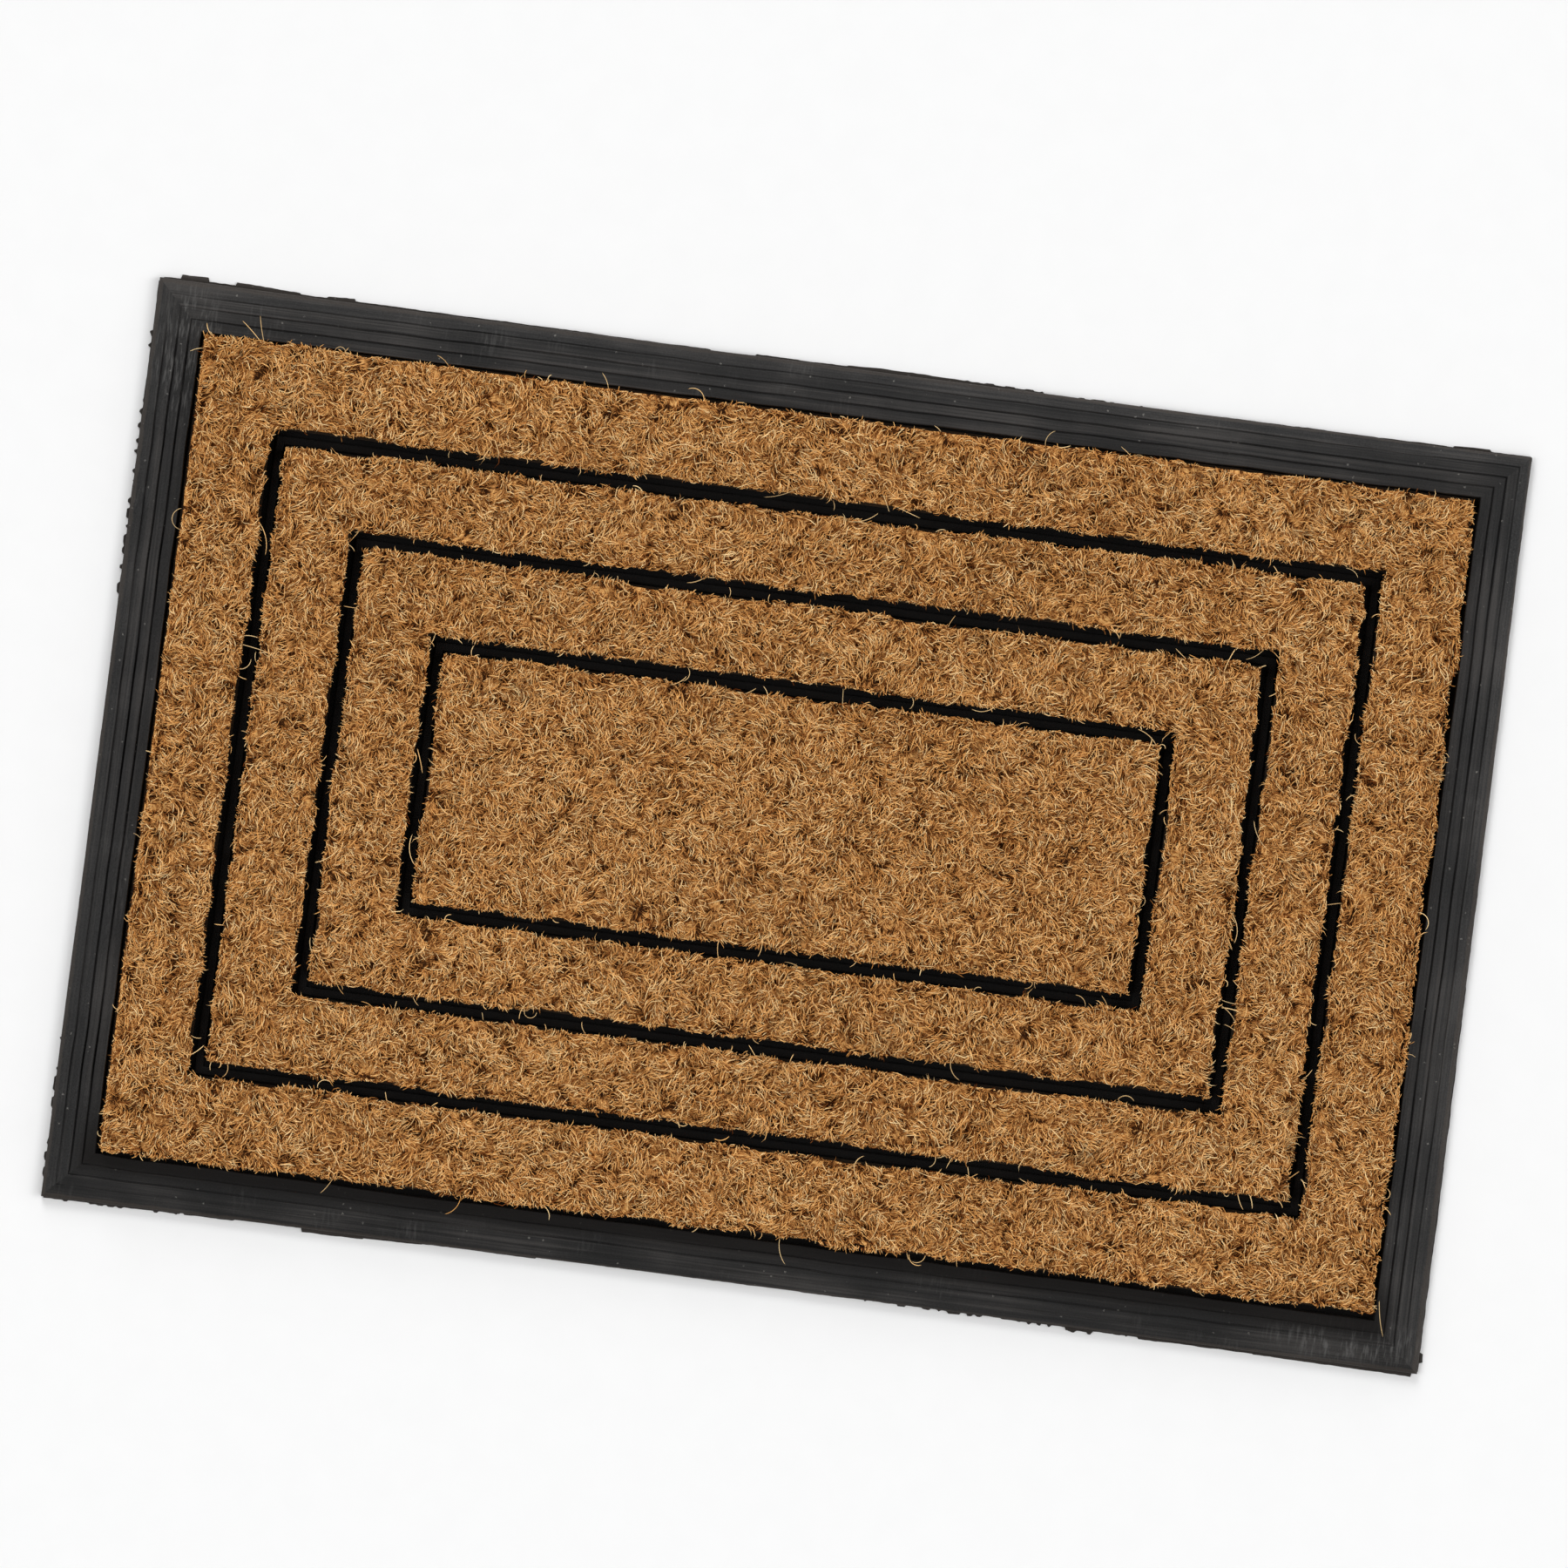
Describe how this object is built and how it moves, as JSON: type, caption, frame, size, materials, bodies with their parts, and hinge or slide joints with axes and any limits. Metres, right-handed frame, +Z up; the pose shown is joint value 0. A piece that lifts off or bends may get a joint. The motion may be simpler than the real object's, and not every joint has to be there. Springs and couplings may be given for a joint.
{
  "type": "door mat",
  "caption": "Rectangular door mat: a moulded rubber tray with a stepped, bevelled border holds concentric coir brush bands round a centre panel, parted by sunken rubber ribs.",
  "frame": {"origin": "centre of the tray's footprint, on the floor", "axes": "+X along the long side, +Y along the short side, +Z up"},
  "size_m": [0.6, 0.4, 0.014],
  "materials": {
    "black_rubber": "satin",
    "coir_backing": "matte",
    "coir_pile": "matte"
  },
  "bodies": {
    "root": {"rubber_tray": "black_rubber", "outer_band_backing": "coir_backing", "middle_band_backing": "coir_backing", "inner_band_backing": "coir_backing", "centre_panel_backing": "coir_backing", "outer_band_pile": "coir_pile", "middle_band_pile": "coir_pile", "inner_band_pile": "coir_pile", "centre_panel_pile": "coir_pile"}
  },
  "joints": []
}
